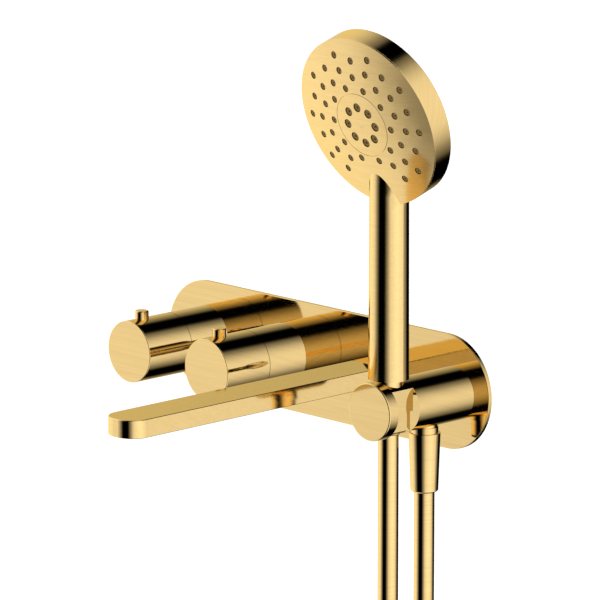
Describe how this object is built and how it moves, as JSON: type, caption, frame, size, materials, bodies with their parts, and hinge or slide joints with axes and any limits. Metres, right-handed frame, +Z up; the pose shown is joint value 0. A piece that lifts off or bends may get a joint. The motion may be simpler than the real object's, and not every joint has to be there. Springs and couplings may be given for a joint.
{
  "type": "wall mounted bath faucet",
  "caption": "Concealed thermostatic bath faucet: oblong wall plate, turning knobs, flat spout, hose outlet with fork and a round handset.",
  "frame": {"origin": "centre of the wall plate on the finished wall", "axes": "+X right as one faces the wall, +Y into the wall, +Z up"},
  "size_m": [0.3684, 0.2982, 0.6202],
  "materials": {
    "brushed_gold": "satin brushed gold, PVD on brass",
    "coated_plastic": "moulded plastic with a satin brushed gold coating",
    "raw_brass": "machined raw brass",
    "cast_brass": "sand cast brass, as cast",
    "steel": "stainless steel",
    "ceramic": "fine ceramic",
    "black_rubber": "moulded rubber",
    "gasket_foam": "closed cell foam",
    "nozzle_rubber": "soft nozzle rubber, bronze",
    "white_plastic": "acetal",
    "grey_plastic": "moulded waterway plastic",
    "filter_plastic": "filter plastic",
    "copper": "copper wax capsule",
    "hose_skin": "smooth gold hose skin",
    "tie_strap": "woven hook and loop strap"
  },
  "bodies": {
    "fixed_set": {"aerator_housing": "grey_plastic", "check_valve_seats": "white_plastic", "check_valve_springs": "steel", "elbow_nipple": "raw_brass", "fixed_ceramic_disc": "ceramic", "flow_cartridge_housing": "white_plastic", "flow_cartridge_nut": "raw_brass", "flow_sleeve": "brushed_gold", "flow_straightener": "white_plastic", "fork_grub_screw": "steel", "handset_fork": "brushed_gold", "hose_coil": "hose_skin", "hose_handset_leg": "hose_skin", "hose_outlet_leg": "hose_skin", "hose_tie": "tie_strap", "inlet_filters": "filter_plastic", "inlet_unions": "raw_brass", "outlet_elbow": "brushed_gold", "outlet_hose_nut": "brushed_gold", "outlet_hose_washer": "black_rubber", "outlet_nipple": "brushed_gold", "plate_gasket": "gasket_foam", "spout": "brushed_gold", "spout_adapter": "raw_brass", "spout_seal": "black_rubber", "temperature_cartridge_housing": "white_plastic", "temperature_cartridge_nut": "raw_brass", "temperature_sleeve": "brushed_gold", "temperature_stop_ring": "white_plastic", "thermostat_return_spring": "steel", "valve_body": "cast_brass", "wall_plate": "brushed_gold", "wall_screws": "steel"},
    "temperature_control": {"temperature_knob": "brushed_gold", "temperature_knob_pin": "brushed_gold", "temperature_grub_screw": "steel", "temperature_spline_adapter": "white_plastic", "temperature_spindle": "raw_brass"},
    "flow_control": {"flow_knob": "brushed_gold", "flow_knob_pin": "brushed_gold", "flow_grub_screw": "steel", "flow_spline_adapter": "white_plastic", "flow_spindle": "raw_brass", "turning_ceramic_disc": "ceramic"},
    "thermostat_slide": {"wax_element": "copper", "thermostat_piston": "steel"},
    "hot_poppet": {"hot_check_valve_poppet": "white_plastic"},
    "cold_poppet": {"cold_check_valve_poppet": "white_plastic"},
    "handset": {"handset_front_shell": "coated_plastic", "handset_back_cover": "coated_plastic", "nozzle_mat": "nozzle_rubber", "spray_chamber": "grey_plastic", "chamber_screws": "steel", "button_spring": "steel", "handset_water_tube": "grey_plastic", "handset_thread_insert": "raw_brass", "handset_hose_nut": "brushed_gold", "handset_hose_washer": "black_rubber"},
    "spray_button": {"mode_button": "coated_plastic", "button_nozzle_mat": "nozzle_rubber"}
  },
  "joints": [
    {"name": "temperature_turn", "type": "hinge", "parent": "fixed_set", "child": "temperature_control", "pos_m": [-0.12, 0, 0], "axis": [0, -1, 0], "range_deg": [-150, 50]},
    {"name": "flow_turn", "type": "hinge", "parent": "fixed_set", "child": "flow_control", "pos_m": [-0.04, 0, 0], "axis": [0, -1, 0], "range_deg": [-90, 90]},
    {"name": "thermostat_travel", "type": "slide", "parent": "fixed_set", "child": "thermostat_slide", "axis": [0, 1, 0], "range_m": [-0.0011, 0.0004], "deforming": ["thermostat_return_spring"]},
    {"name": "hot_poppet_travel", "type": "slide", "parent": "fixed_set", "child": "hot_poppet", "axis": [1, 0, 0], "range_m": [0, 0.002], "stiffness_N_per_m": 120, "springref_m": -0.0002, "deforming": ["check_valve_springs"]},
    {"name": "cold_poppet_travel", "type": "slide", "parent": "fixed_set", "child": "cold_poppet", "axis": [0, 0, 1], "range_m": [0, 0.002], "stiffness_N_per_m": 120, "springref_m": -0.0002, "deforming": ["check_valve_springs"]},
    {"name": "handset_lift", "type": "slide", "parent": "fixed_set", "child": "handset", "axis": [0, 0, 1], "range_m": [0, 0.045]},
    {"name": "spray_button_press", "type": "slide", "parent": "handset", "child": "spray_button", "axis": [0, 0.9537, 0.3007], "range_m": [0, 0.002], "stiffness_N_per_m": 900, "springref_m": -0.0005, "deforming": ["button_spring"]}
  ],
  "couplings": [
    {"joint": "thermostat_travel", "follows": "temperature_turn", "m_per_rad": 0.0004}
  ]
}
